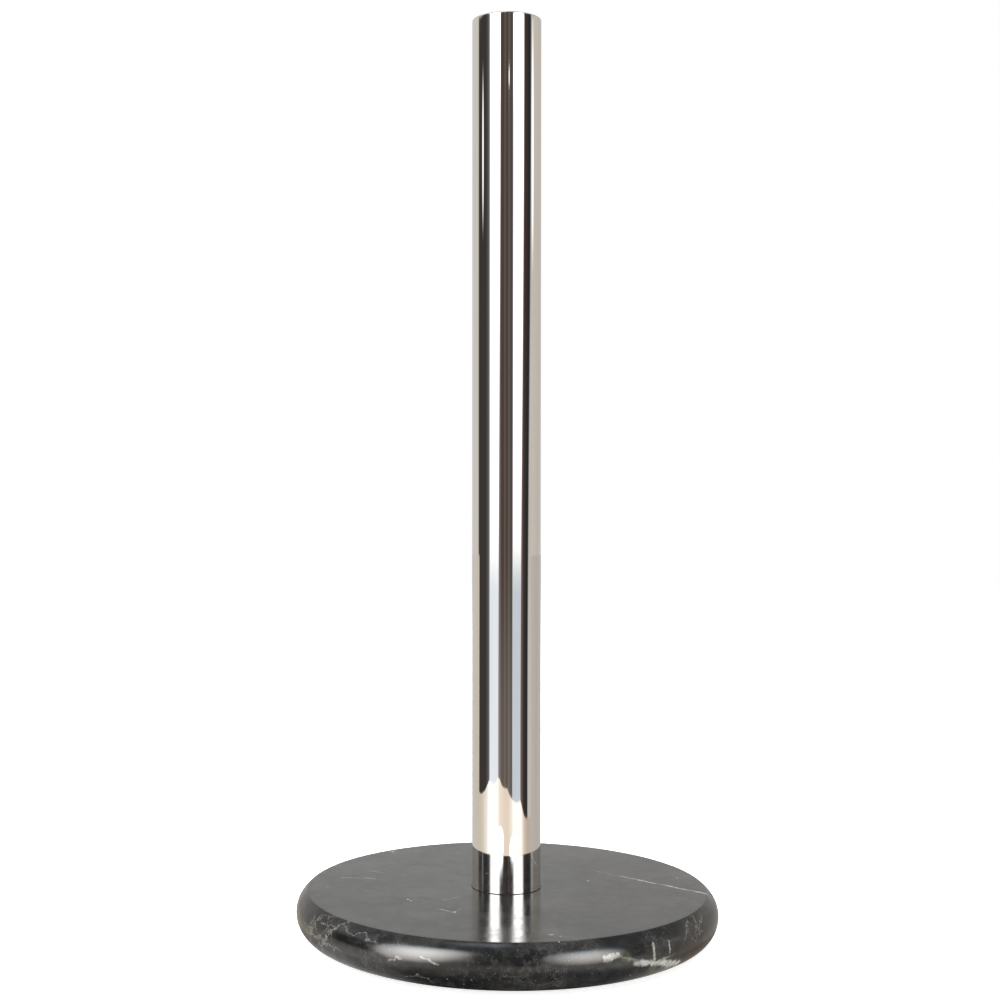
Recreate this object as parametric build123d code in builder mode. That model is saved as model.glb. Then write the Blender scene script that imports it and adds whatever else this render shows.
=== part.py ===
"""A countertop paper towel holder: a polished steel post bolted to a round stone base.

The base is a disc of black marble with a bullnose rim, ground flat on top so that the rim ends in a crisp
arris. The post is a thin steel tube, closed at the top by a flush cap. A threaded plug is pressed into its
foot, and the plug's spigot sits in a shallow hole in the stone, which centres the post. One bolt comes up
through the stone from beneath, with a spring, a flat and a rubber washer under its head, and draws the post
down onto a thin gasket let into the stone. Four rubber feet keep the stone off the table.

Millimetres. +Z is up along the post, and the origin is on the table, under the middle of the base.
"""

import os
from math import radians, sqrt, tan

from build123d import *

# Driving dimensions
BASE_RADIUS = 77.5  # at the widest ring
BASE_THICKNESS = 17.0
BULLNOSE_RADIUS = 9.25  # of the rim's one arc, which starts level with the underside
POST_RADIUS = 12.7  # one-inch tube
POST_HEIGHT = 319.0  # what stands above the stone
POST_WALL = 1.2
FOOT_RADIUS = 7.0
FOOT_HEIGHT = 2.0
FOOT_EDGE = 0.5  # rounding of a foot's lower edge
FOOT_CIRCLE_RADIUS = 54.0  # through the middles of the feet
THREAD_RADIUS = 3.0  # M6
THREAD_PITCH = 1.0
BOLT_LENGTH = 25.0  # under the head

# The stone
STONE_BOTTOM = FOOT_HEIGHT
STONE_TOP = STONE_BOTTOM + BASE_THICKNESS
BULLNOSE_HEIGHT = STONE_BOTTOM + BULLNOSE_RADIUS  # of the widest ring
UNDERSIDE_RADIUS = BASE_RADIUS - BULLNOSE_RADIUS
TOP_RADIUS = UNDERSIDE_RADIUS + sqrt(BULLNOSE_RADIUS**2 - (STONE_TOP - BULLNOSE_HEIGHT) ** 2)
ARRIS_ROUNDING = 0.35
BOLT_HOLE_RADIUS = 3.75
COUNTERBORE_RADIUS = 12.0
COUNTERBORE_DEPTH = 8.0
SPIGOT_HOLE_RADIUS = 6.2
SPIGOT_HOLE_DEPTH = 2.5
SEAT_RADIUS = POST_RADIUS + 0.25  # of the shallow recess that holds the gasket
SEAT_DEPTH = 0.3

# The post
GASKET_THICKNESS = 0.5
GASKET_RADIUS = POST_RADIUS - 0.2
GASKET_BORE_RADIUS = 9.5
GASKET_BOTTOM = STONE_TOP - SEAT_DEPTH
POST_BOTTOM = GASKET_BOTTOM + GASKET_THICKNESS
POST_TOP = STONE_TOP + POST_HEIGHT
POST_BORE_RADIUS = POST_RADIUS - POST_WALL
RIM_ROUNDING = 0.5
CAP_THICKNESS = 2.5
LEAD_CHAMFER = 0.5  # on the edges that go into the tube first
PLUG_LENGTH = 15.0
PLUG_BOTTOM = POST_BOTTOM + 0.5  # set back, so that the tube alone bears on the gasket
PLUG_TOP = PLUG_BOTTOM + PLUG_LENGTH
SPIGOT_RADIUS = 6.0
SPIGOT_BOTTOM = STONE_TOP - 2.0
GROOVE_WIDTH = 3.0  # round the plug's middle
GROOVE_RADIUS = POST_BORE_RADIUS - 0.6
GROOVE_BOTTOM = (PLUG_BOTTOM + PLUG_TOP - GROOVE_WIDTH) / 2
GROOVE_TOP = GROOVE_BOTTOM + GROOVE_WIDTH

# The washers, each against the one above it, from the counterbore's ceiling down
RUBBER_RADIUS = 10.0
RUBBER_BORE_RADIUS = 3.3
RUBBER_THICKNESS = 1.0
RUBBER_BEVEL = 0.1
RUBBER_BOTTOM = STONE_BOTTOM + COUNTERBORE_DEPTH - RUBBER_THICKNESS
FLAT_RADIUS = 9.0
FLAT_BORE_RADIUS = 3.2
FLAT_THICKNESS = 1.6
FLAT_BEVEL = 0.2
FLAT_BOTTOM = RUBBER_BOTTOM - FLAT_THICKNESS
SPRING_RADIUS = 5.9
SPRING_BORE_RADIUS = 3.1
SPRING_THICKNESS = 1.6
SPRING_BOTTOM = FLAT_BOTTOM - SPRING_THICKNESS
SPLIT_WIDTH = 1.1
SPLIT_SLANT = 25.0  # degrees from upright
SPLIT_REACH = 6.0  # longer and taller than the ring it cuts

# The bolt
HEAD_RADIUS = 5.25
HEAD_HEIGHT = 3.3
HEAD_SKIRT = 0.5  # the straight part of the head's side
HEAD_FLAT_RADIUS = 2.9  # of the button's end face
SOCKET_ACROSS_FLATS = 4.0
SOCKET_DEPTH = 2.1
HEAD_TOP = SPRING_BOTTOM
HEAD_BOTTOM = HEAD_TOP - HEAD_HEIGHT
BOLT_TIP = HEAD_TOP + BOLT_LENGTH
TIP_CHAMFER = 0.7

# The thread's form, cut as rings one pitch apart
THREAD_DEPTH = 0.613 * THREAD_PITCH
THREAD_ROOT = THREAD_RADIUS - THREAD_DEPTH
THREAD_CREST = THREAD_RADIUS - 0.03
CREST_HALF_WIDTH = THREAD_PITCH / 16
RIDGE_HALF_WIDTH = CREST_HALF_WIDTH + (THREAD_CREST - THREAD_ROOT) * tan(radians(30))
THREAD_PLAY = 0.06  # radial, of the plug's thread round the bolt's
FIRST_RIDGE = HEAD_TOP + 1.5  # every other ridge is whole pitches from it
PLUG_MOUTH_RADIUS = THREAD_RADIUS + 0.5  # of the countersink at each end

# Degrees round from +X
FOOT_ANGLES = {
    "foot_back_right": 45,
    "foot_back_left": 135,
    "foot_front_left": 225,
    "foot_front_right": 315,
}


def thread_outline(low, high, play=0.0):
    """Points up the side of a thread from low to high: a straight root with whole ridges standing on it."""
    root = THREAD_ROOT + play
    crest = THREAD_CREST + play
    ridge = FIRST_RIDGE + THREAD_PITCH * round((low - FIRST_RIDGE) / THREAD_PITCH)
    if ridge - RIDGE_HALF_WIDTH <= low:
        ridge += THREAD_PITCH
    points = [(root, low)]
    while ridge + RIDGE_HALF_WIDTH < high:
        points.append((root, ridge - RIDGE_HALF_WIDTH))
        points.append((crest, ridge - CREST_HALF_WIDTH))
        points.append((crest, ridge + CREST_HALF_WIDTH))
        points.append((root, ridge + RIDGE_HALF_WIDTH))
        ridge += THREAD_PITCH
    points.append((root, high))
    return points


os.makedirs("parts", exist_ok=True)

# The base: a disc whose rim is one arc, let in on top for the gasket and the spigot, counterbored beneath
with BuildPart() as marble_base:
    with BuildSketch(Plane.XZ):
        with BuildLine():
            flats = Polyline(
                (UNDERSIDE_RADIUS, STONE_BOTTOM),
                (0, STONE_BOTTOM),
                (0, STONE_TOP),
                (TOP_RADIUS, STONE_TOP),
            )
            ThreePointArc(flats @ 0, (BASE_RADIUS, BULLNOSE_HEIGHT), flats @ 1)
        make_face()
    revolve(axis=Axis.Z)
    fillet(marble_base.edges().filter_by(GeomType.CIRCLE).sort_by(Axis.Z)[-1], ARRIS_ROUNDING)
    with Locations((0, 0, STONE_TOP)):
        CounterBoreHole(SPIGOT_HOLE_RADIUS, SEAT_RADIUS, SEAT_DEPTH, depth=SPIGOT_HOLE_DEPTH)
    with Locations(Plane(origin=(0, 0, STONE_BOTTOM), z_dir=(0, 0, -1))):
        CounterBoreHole(BOLT_HOLE_RADIUS, COUNTERBORE_RADIUS, COUNTERBORE_DEPTH)
marble_base.part.label = "marble_base"
export_step(marble_base.part, "parts/marble_base.step")

# The post: a straight tube with a rounded rim
with BuildPart() as post_tube:
    with BuildSketch(Plane.XY.offset(POST_BOTTOM)):
        Circle(POST_RADIUS)
        Circle(POST_BORE_RADIUS, mode=Mode.SUBTRACT)
    extrude(amount=POST_TOP - POST_BOTTOM)
    fillet(post_tube.faces().sort_by(Axis.Z)[-1].outer_wire().edges(), RIM_ROUNDING)
post_tube.part.label = "post_tube"
export_step(post_tube.part, "parts/post_tube.step")

# The disc that closes the tube, flush with its rim
with BuildPart() as top_cap:
    with BuildSketch(Plane.XY.offset(POST_TOP - CAP_THICKNESS)):
        Circle(POST_BORE_RADIUS)
    extrude(amount=CAP_THICKNESS)
    chamfer(top_cap.edges().sort_by(Axis.Z)[0], LEAD_CHAMFER)
top_cap.part.label = "top_cap"
export_step(top_cap.part, "parts/top_cap.step")

# The plug pressed into the tube's foot, grooved outside, with its spigot beneath and threaded right through
with BuildPart() as threaded_plug:
    with BuildSketch(Plane.XZ):
        with BuildLine():
            Polyline(
                *thread_outline(SPIGOT_BOTTOM, PLUG_TOP, THREAD_PLAY),
                (POST_BORE_RADIUS, PLUG_TOP),
                (POST_BORE_RADIUS, GROOVE_TOP),
                (GROOVE_RADIUS, GROOVE_TOP),
                (GROOVE_RADIUS, GROOVE_BOTTOM),
                (POST_BORE_RADIUS, GROOVE_BOTTOM),
                (POST_BORE_RADIUS, PLUG_BOTTOM),
                (SPIGOT_RADIUS, PLUG_BOTTOM),
                (SPIGOT_RADIUS, SPIGOT_BOTTOM),
                close=True,
            )
        make_face()
    revolve(axis=Axis.Z)
    circles = threaded_plug.edges().filter_by(GeomType.CIRCLE)
    spigot_end = circles.filter_by(lambda edge: edge.radius == SPIGOT_RADIUS).sort_by(Axis.Z)[0]
    widest = circles.group_by(SortBy.RADIUS)[-1].sort_by(Axis.Z)
    chamfer([spigot_end, widest[0], widest[-1]], LEAD_CHAMFER)
    for height, outward in ((SPIGOT_BOTTOM, -1), (PLUG_TOP, 1)):
        with Locations(Plane(origin=(0, 0, height), z_dir=(0, 0, outward))):
            CounterSinkHole(THREAD_ROOT, PLUG_MOUTH_RADIUS, depth=PLUG_MOUTH_RADIUS, counter_sink_angle=90)
threaded_plug.part.label = "threaded_plug"
export_step(threaded_plug.part, "parts/threaded_plug.step")

# The thin ring between the tube and the stone
with BuildPart() as seat_gasket:
    with BuildSketch(Plane.XY.offset(GASKET_BOTTOM)):
        Circle(GASKET_RADIUS)
        Circle(GASKET_BORE_RADIUS, mode=Mode.SUBTRACT)
    extrude(amount=GASKET_THICKNESS)
seat_gasket.part.label = "seat_gasket"
export_step(seat_gasket.part, "parts/seat_gasket.step")

# The soft washer that spares the stone
with BuildPart() as rubber_washer:
    with BuildSketch(Plane.XY.offset(RUBBER_BOTTOM)):
        Circle(RUBBER_RADIUS)
        Circle(RUBBER_BORE_RADIUS, mode=Mode.SUBTRACT)
    extrude(amount=RUBBER_THICKNESS)
    chamfer(rubber_washer.edges().filter_by(GeomType.CIRCLE), RUBBER_BEVEL)
rubber_washer.part.label = "rubber_washer"
export_step(rubber_washer.part, "parts/rubber_washer.step")

# The wide washer that spreads the bolt's load
with BuildPart() as flat_washer:
    with BuildSketch(Plane.XY.offset(FLAT_BOTTOM)):
        Circle(FLAT_RADIUS)
        Circle(FLAT_BORE_RADIUS, mode=Mode.SUBTRACT)
    extrude(amount=FLAT_THICKNESS)
    chamfer(flat_washer.edges().filter_by(GeomType.CIRCLE), FLAT_BEVEL)
flat_washer.part.label = "flat_washer"
export_step(flat_washer.part, "parts/flat_washer.step")

# The split spring washer, drawn flat by the bolt
with BuildPart() as spring_washer:
    with BuildSketch(Plane.XY.offset(SPRING_BOTTOM)):
        Circle(SPRING_RADIUS)
        Circle(SPRING_BORE_RADIUS, mode=Mode.SUBTRACT)
    extrude(amount=SPRING_THICKNESS)
    split_middle = ((SPRING_RADIUS + SPRING_BORE_RADIUS) / 2, 0, SPRING_BOTTOM + SPRING_THICKNESS / 2)
    with Locations(Location(split_middle, (SPLIT_SLANT, 0, 0))):
        Box(SPLIT_REACH, SPLIT_WIDTH, SPLIT_REACH, mode=Mode.SUBTRACT)
spring_washer.part.label = "spring_washer"
export_step(spring_washer.part, "parts/spring_washer.step")

# The button-head bolt, threaded up to its head, with a hexagon socket
with BuildPart() as fixing_bolt:
    with BuildSketch(Plane.XZ):
        with BuildLine():
            side = Polyline(
                (0, HEAD_BOTTOM),
                (0, BOLT_TIP),
                (THREAD_ROOT - TIP_CHAMFER, BOLT_TIP),
                *reversed(thread_outline(HEAD_TOP, BOLT_TIP - TIP_CHAMFER)),
                (HEAD_RADIUS, HEAD_TOP),
                (HEAD_RADIUS, HEAD_TOP - HEAD_SKIRT),
            )
            button = TangentArc(side @ 1, (HEAD_FLAT_RADIUS, HEAD_BOTTOM), tangent=(0, -1))
            Line(button @ 1, side @ 0)
        make_face()
    revolve(axis=Axis.Z)
    with BuildSketch(Plane(origin=(0, 0, HEAD_BOTTOM), z_dir=(0, 0, -1))):
        RegularPolygon(SOCKET_ACROSS_FLATS / 2, 6, major_radius=False)
    extrude(amount=-SOCKET_DEPTH, mode=Mode.SUBTRACT)
fixing_bolt.part.label = "fixing_bolt"
export_step(fixing_bolt.part, "parts/fixing_bolt.step")

# The rubber feet, stuck to the underside
for foot_name, angle in FOOT_ANGLES.items():
    with BuildPart() as foot:
        with BuildSketch():
            with PolarLocations(FOOT_CIRCLE_RADIUS, 1, start_angle=angle):
                Circle(FOOT_RADIUS)
        extrude(amount=FOOT_HEIGHT)
        fillet(foot.edges().filter_by(GeomType.CIRCLE).sort_by(Axis.Z)[0], FOOT_EDGE)
    foot.part.label = foot_name
    export_step(foot.part, f"parts/{foot_name}.step")
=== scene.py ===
"""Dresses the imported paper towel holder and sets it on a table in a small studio.

The stone base and the steel post are turned again here as fine meshes, with the slight unevenness that
polishing leaves. The cap, plug, washers, bolt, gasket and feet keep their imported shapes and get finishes.

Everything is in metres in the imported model's frame: +Z is up along the post, and the origin is on the table,
under the middle of the base. Materials measure in millimetres, from the same origin.
"""

import random
from math import atan2, cos, degrees, pi, radians, sin, sqrt, tau
from typing import NamedTuple

import bmesh
import bpy
from bpy.props import FloatProperty, FloatVectorProperty, IntProperty, PointerProperty
from mathutils import Euler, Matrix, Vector, noise


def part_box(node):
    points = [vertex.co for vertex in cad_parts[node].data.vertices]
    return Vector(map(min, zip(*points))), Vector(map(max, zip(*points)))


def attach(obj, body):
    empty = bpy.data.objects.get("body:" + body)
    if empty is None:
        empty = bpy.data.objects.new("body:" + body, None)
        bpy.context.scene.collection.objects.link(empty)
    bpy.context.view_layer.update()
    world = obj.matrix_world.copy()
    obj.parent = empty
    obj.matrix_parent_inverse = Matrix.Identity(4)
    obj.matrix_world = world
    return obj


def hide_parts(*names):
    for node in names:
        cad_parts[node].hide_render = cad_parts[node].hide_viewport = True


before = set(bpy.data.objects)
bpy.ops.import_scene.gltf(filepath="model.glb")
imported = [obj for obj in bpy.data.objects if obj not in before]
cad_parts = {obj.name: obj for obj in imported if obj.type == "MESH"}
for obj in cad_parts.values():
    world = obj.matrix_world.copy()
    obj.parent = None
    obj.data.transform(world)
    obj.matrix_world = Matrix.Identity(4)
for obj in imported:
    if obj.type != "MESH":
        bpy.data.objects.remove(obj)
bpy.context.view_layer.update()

bl_info = {
    "name": "Paper Towel Holder",
    "version": (1, 0, 0),
    "blender": (4, 5, 0),
    "location": "View3D > Sidebar > Towel Holder",
    "description": "A polished steel post on a round black marble base, with its table and lights",
    "category": "Add Mesh",
}

MM = 0.001

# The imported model's own sizes
STONE_LOW, STONE_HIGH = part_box("marble_base")
TUBE_LOW, TUBE_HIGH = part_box("post_tube")
_, CAP_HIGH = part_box("top_cap")
GASKET_LOW, GASKET_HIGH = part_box("seat_gasket")
_, RUBBER_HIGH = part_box("rubber_washer")
STONE_RADIUS = STONE_HIGH.x
POST_RADIUS = TUBE_HIGH.x
POST_BORE_RADIUS = CAP_HIGH.x

STONE_STEPS = 720  # round the base
POST_STEPS = 288  # round the post
SHARP_ANGLE = 30  # degrees between faces from which an edge is shaded sharp
HAIR = 0.01 * MM  # near enough to a face to belong to it

BLACK = (0.0, 0.0, 0.0, 1.0)
WHITE = (1.0, 1.0, 1.0, 1.0)


def number_field(name, description, default, **limits):
    return FloatProperty(name=name, description=description, default=default, **limits)


def length_field(name, description, default, least=0.0):
    """A setting in metres."""
    return number_field(name, description, default, min=least, precision=6, unit="LENGTH")


def angle_field(name, description, default):
    """A setting in radians, from its degrees."""
    return number_field(name, description, radians(default), subtype="ANGLE")


def colour_field(name, description, default):
    """A setting that is a colour, from its red, green and blue."""
    limits = {"size": 4, "min": 0.0, "max": 1.0, "subtype": "COLOR"}
    return FloatVectorProperty(name=name, description=description, default=(*default, 1.0), **limits)


class HolderStoneSettings(bpy.types.PropertyGroup):
    bullnose_radius: length_field("Bullnose radius", "Radius of the rim's one arc", 9.25 * MM, 8.6 * MM)
    arris_rounding: length_field("Arris rounding", "Of the edge round the flat top", 0.35 * MM, 0.1 * MM)
    seat_clearance: length_field("Seat clearance", "Gap round the gasket in its shallow recess", 0.45 * MM)
    spigot_hole_radius: length_field("Spigot hole radius", "Of the hole that centres the post", 6.2 * MM)
    spigot_hole_depth: length_field("Spigot hole depth", "Depth of that hole below the flat top", 2.5 * MM)
    bolt_hole_radius: length_field("Bolt hole radius", "Of the hole right through the stone", 3.75 * MM)
    counterbore_radius: length_field("Counterbore radius", "Of the recess for the washers", 12.0 * MM)
    top_unevenness: length_field("Top unevenness", "How deep the flat top dips", 0.012 * MM)
    rim_unevenness: length_field("Rim unevenness", "How deep the rim dips", 0.05 * MM)
    chips: IntProperty(name="Chips", description="Number of tiny chips along the arris", default=16, min=0)
    ground_colour: colour_field("Stone", "Black stone between the veins", (0.0042, 0.0045, 0.0048))
    cloud_colour: colour_field("Cloud", "Paler clouds in the stone", (0.02, 0.0196, 0.0185))
    haze_colour: colour_field("Haze", "Fine grey mottling", (0.05, 0.051, 0.05))
    vein_colour: colour_field("Vein", "Calcite veins", (0.32, 0.32, 0.31))
    olive_colour: colour_field("Olive patch", "Greenish patches by the widest vein", (0.034, 0.037, 0.022))


class HolderPostSettings(bpy.types.PropertyGroup):
    rim_rounding: length_field("Rim rounding", "Of the edge round the tube's top", 0.5 * MM, 0.1 * MM)
    waviness: length_field("Waviness", "How uneven the polishing belt left the tube", 0.004 * MM)
    steel_colour: colour_field("Polished steel", "Colour of its reflections", (0.9, 0.885, 0.865))


class HolderFittingSettings(bpy.types.PropertyGroup):
    turned_colour: colour_field("Turned steel", "The plug, straight from the lathe", (0.5, 0.49, 0.48))
    zinc_colour: colour_field("Zinc plate", "The bolt and the flat washer", (0.6, 0.62, 0.66))
    spring_colour: colour_field("Spring steel", "The oiled spring washer", (0.17, 0.17, 0.18))
    rubber_colour: colour_field("Rubber", "The feet and the soft washer", (0.021, 0.021, 0.022))
    gasket_colour: colour_field("Gasket", "The thin ring under the post", (0.05, 0.028, 0.02))


class HolderStageSettings(bpy.types.PropertyGroup):
    camera_distance: length_field("Camera distance", "From the post's axis, along the table", 0.6011)
    camera_height: length_field("Camera height", "Of the lens above the table", 0.1702)
    camera_azimuth: angle_field("Camera azimuth", "How far right of straight in front it stands", -2.55)
    camera_turn: angle_field("Camera turn", "How far left of straight back it looks", 0.0)
    camera_tilt: angle_field("Camera tilt", "How far down it looks", 0.792)
    focal_length: number_field("Focal length", "Of the lens, in millimetres", 58.6, min=10.0)
    camera_shift: number_field("Camera shift", "Sideways, in widths of the picture", 0.066, precision=4)
    lamp_strength: number_field("Lamp strength", "Brightness of the two lamps' tubes", 9.0, min=0.0)
    fill_strength: number_field("Fill strength", "Brightness of the soft light from above", 4.5, min=0.0)
    floor_colour: colour_field("Floor", "Colour of the floor in plain sight", (0.86, 0.86, 0.85))
    floor_glow: number_field("Floor glow", "Light of the floor's own, against shadows", 0.8, min=0.0)
    floor_radius: length_field("Floor radius", "Of the round floor, which fades out to its edge", 2.4)


# ---------------------------------------------------------------- node recipes


class Recipe:
    """The nodes of one material, group or world, added one at a time."""

    COLUMNS = 9
    NODE_WIDTH = 220
    NODE_HEIGHT = 260

    def __init__(self, tree):
        self.tree = tree

    def node(self, kind, inputs=None, **settings):
        """Adds a node. inputs maps a socket's name or number to a plain value or to another node's output."""
        made = self.tree.nodes.new(kind)
        place = len(self.tree.nodes) - 1
        row, column = divmod(place, self.COLUMNS)
        made.location = (column * self.NODE_WIDTH, -row * self.NODE_HEIGHT)
        for name, value in settings.items():
            setattr(made, name, value)
        for name, value in (inputs or {}).items():
            self.feed(made.inputs[name], value)
        return made

    def feed(self, socket, value):
        if isinstance(value, bpy.types.NodeSocket):
            self.tree.links.new(value, socket)
        else:
            socket.default_value = value

    def shade(self, name, value):
        """Feeds one input of a material's own shader."""
        self.feed(self.tree.nodes["Principled BSDF"].inputs[name], value)

    def math(self, operation, *values):
        return self.node("ShaderNodeMath", dict(enumerate(values)), operation=operation).outputs[0]

    def times(self, first, second):
        return self.math("MULTIPLY", first, second)

    def larger(self, first, second):
        return self.math("MAXIMUM", first, second)

    def vector(self, operation, *values):
        made = self.node("ShaderNodeVectorMath", dict(enumerate(values)), operation=operation)
        return made.outputs["Value" if operation in ("DOT_PRODUCT", "LENGTH") else "Vector"]

    def scaled(self, point, factors):
        return self.vector("MULTIPLY", point, factors)

    def rise(self, value, low, high, start=0.0, end=1.0):
        """Goes smoothly from start to end while value goes from low to high."""
        inputs = {"Value": value, "From Min": low, "From Max": high, "To Min": start, "To Max": end}
        return self.node("ShaderNodeMapRange", inputs, interpolation_type="SMOOTHSTEP").outputs["Result"]

    def band(self, value, low, high, blur):
        """One between low and high, nought outside, with soft sides."""
        risen = self.rise(value, low - blur, low + blur)
        fallen = self.rise(value, high - blur, high + blur, 1.0, 0.0)
        return self.times(risen, fallen)

    def noise(self, point, scale, detail=2.0, roughness=0.5, output="Fac"):
        inputs = {"Vector": point, "Scale": scale, "Detail": detail, "Roughness": roughness}
        return self.node("ShaderNodeTexNoise", inputs).outputs[output]

    def cell_edges(self, point, scale):
        """How far the point is from the nearest edge between irregular cells."""
        inputs = {"Vector": point, "Scale": scale, "Randomness": 1.0}
        return self.node("ShaderNodeTexVoronoi", inputs, feature="DISTANCE_TO_EDGE").outputs["Distance"]

    def mix(self, amount, first, second):
        """From the first colour to the second as amount goes from nought to one."""
        inputs = {"Factor": amount, 6: first, 7: second}
        return self.node("ShaderNodeMix", inputs, data_type="RGBA").outputs[2]

    def ramp(self, value, stops):
        """Colours along a scale from nought to one."""
        made = self.node("ShaderNodeValToRGB", {"Fac": value})
        elements = made.color_ramp.elements
        while len(elements) < len(stops):
            elements.new(1.0)
        for element, (place, colour) in zip(elements, stops):
            element.position = place
            element.color = (*colour, 1.0)
        return made.outputs["Color"]

    def bump(self, height, distance, normal=None):
        inputs = {"Strength": 1.0, "Distance": distance, "Height": height}
        if normal is not None:
            inputs["Normal"] = normal
        return self.node("ShaderNodeBump", inputs).outputs["Normal"]

    def metres(self):
        """The point being shaded, in metres from the part's origin."""
        return self.node("ShaderNodeTexCoord").outputs["Object"]

    def millimetres(self):
        return self.scaled(self.metres(), (1 / MM,) * 3)


def grey(level):
    return (level, level, level, 1.0)


def dimmed(colour, share):
    return (*(share * channel for channel in colour[:3]), 1.0)


def add_object(name, mesh):
    """An object made of an edited mesh, which it frees, in the scene."""
    data = bpy.data.meshes.new(name)
    mesh.to_mesh(data)
    mesh.free()
    piece = bpy.data.objects.new(name, data)
    bpy.context.scene.collection.objects.link(piece)
    return piece


def new_finish(name):
    """A material with only its shader and output, and the recipe to add nodes with."""
    material = bpy.data.materials.new(name)
    material.use_nodes = True
    return material, Recipe(material.node_tree)


# ---------------------------------------------------------------- the stone

# Veins on the flat top: where one starts and ends in millimetres, its width, its strength and its sway
TOP_VEINS = (
    ((33, 25), (72, -11), 0.35, 0.45, 0.9),
    ((44, 15), (56, 3.5), 0.8, 0.9, 0.5),
    ((58, 2), (73, -12), 0.8, 1.0, 0.5),
    ((-62, 13), (-48, 11), 0.6, 0.4, 0.6),
    ((-51, 23), (-45, 20), 0.5, 0.4, 0.4),
    ((-25, -32), (-19.5, -37), 0.5, 0.6, 0.3),
    ((-24, -20), (-17, -15), 0.5, 0.35, 0.3),
)

# Veins on the rim: degrees round from the front and millimetres above the table at each end, then as above
RIM_VEINS = (
    ((-60, 16.5), (-48, 17), 0.4, 0.3, 1.4),
    ((-49, 17), (-37, 16), 0.4, 0.28, 1.4),
    ((-33, 10.2), (-29, 12.6), 0.5, 0.45, 0.8),
    ((-24, 13.8), (-19, 11.8), 0.5, 0.5, 0.4),
    ((-29, 6), (-24, 7.5), 0.35, 0.14, 0.8),
    ((-25, 7), (-21, 5), 0.35, 0.14, 0.8),
    ((21.6, 13.3), (26.4, 13.9), 1.5, 0.75, 0.5),
    ((24, 13.7), (33, 10.4), 0.9, 0.22, 0.6),
    ((30.5, 10.2), (41, 8.2), 1.7, 0.85, 0.5),
    ((39, 8.6), (48.5, 5.4), 2.0, 0.9, 0.6),
    ((33, 8.8), (44, 10), 0.4, 0.35, 0.7),
    ((36.6, 9.6), (37.2, 15.6), 0.7, 0.75, 0.4),
    ((42.5, 10.5), (42.5, 15.0), 0.6, 0.6, 0.4),
    ((49, 13.5), (54, 18.5), 0.4, 0.2, 0.8),
    ((54, 13.5), (59, 18.5), 0.45, 0.24, 0.8),
    ((57, 14.5), (63, 17.5), 0.4, 0.2, 0.8),
    ((-68, 4), (-62, 18), 0.5, 0.35, 1.4),
    ((-60, 6), (-52, 17), 0.45, 0.35, 1.4),
    ((-70, 12), (-50, 10), 0.4, 0.3, 1.4),
)

# Flecks on the flat top, and on the rim as above: the middle, the radius and the strength
TOP_FLECKS = (
    ((31, 8), 0.9, 0.9),
    ((65, 12), 0.6, 0.8),
    ((-66, -1), 0.7, 0.8),
    ((-36, -19), 0.7, 1.0),
    ((-35, -21), 0.6, 1.0),
    ((-19.5, -36), 0.8, 1.0),
    ((-18, -33), 0.5, 0.5),
    ((12, -64), 1.3, 0.5),
    ((15, -66), 0.9, 0.5),
)
RIM_FLECKS = (
    ((11, 18.9), 0.45, 0.7),
    ((24.5, 14), 1.0, 0.6),
    ((30, 6), 0.4, 0.4),
    ((-25, 7.5), 0.4, 0.35),
    ((-17, 7), 0.35, 0.4),
    ((-13, 5.5), 0.35, 0.4),
    ((-11, 7.5), 0.3, 0.35),
    ((-22, 6.5), 0.4, 0.35),
    ((52, 16), 0.45, 0.4),
    ((60, 16), 0.5, 0.4),
)

# Patches on the rim, of fine network and of olive colour: the middle as above, and the radius
CRACKLES = (((-60, 11), 15.0), ((56, 15), 7.0))
OLIVE_PATCHES = (((37, 6.5), 3.4), ((43, 5.0), 2.6), ((28, 12.5), 2.4))

BACK_OF_RIM = (85, 275)  # degrees round from the front, where spare veins and flecks are scattered
SPARE_VEINS = 16
SPARE_FLECKS = 10
VEIN_REACH = 0.58  # of a vein's length, from its middle to where it has faded out
VEIN_SWING = 6  # millimetres across which a vein of sway one strays from its sheet
FRAY = (1.3, 1.3, 1.3)  # millimetres over which the edges of veins and flecks are frayed
STRAY = (5.0, 5.0, 5.0)  # millimetres over which the clouds and the fine network wander
MIDDLE_GREY = (0.5, 0.5, 0.5)  # a coloured noise's mean
STAIN = (0.2, 0.19, 0.15, 1.0)  # of the brownish stretches along the veins
SAWN_STONE = (0.075, 0.076, 0.078, 1.0)  # of the unpolished underside


def outline_arc(centre, radius, start, end, steps):
    """Points (r, z) along an arc, or (x, y) in plan, from start to end in degrees up from the first axis."""
    angles = [radians(start + (end - start) * step / steps) for step in range(steps + 1)]
    return [(centre[0] + radius * cos(angle), centre[1] + radius * sin(angle)) for angle in angles]


def outline_line(start, end, steps):
    """Points (r, z) along a straight line, without its last point."""
    shares = [step / steps for step in range(steps)]
    return [tuple(a + (b - a) * share for a, b in zip(start, end)) for share in shares]


def turned_mesh(name, outline, steps, unevenness):
    """A closed outline turned round the axis. unevenness(r, z, angle) gives each point its own (r, z)."""
    mesh = bmesh.new()
    rings = []
    for r, z in outline:
        ring = []
        for step in range(steps):
            angle = tau * step / steps
            own_r, own_z = unevenness(r, z, angle)
            ring.append(mesh.verts.new((own_r * cos(angle), own_r * sin(angle), own_z)))
        rings.append(ring)
    for ring, following in zip(rings, rings[1:] + rings[:1]):
        for step in range(steps):
            beside = (step + 1) % steps
            mesh.faces.new((ring[step], ring[beside], following[beside], following[step]))
    bmesh.ops.recalc_face_normals(mesh, faces=mesh.faces)
    piece = add_object(name, mesh)
    piece.data.shade_smooth()
    piece.data.set_sharp_from_angle(angle=radians(SHARP_ANGLE))
    return piece


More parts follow.
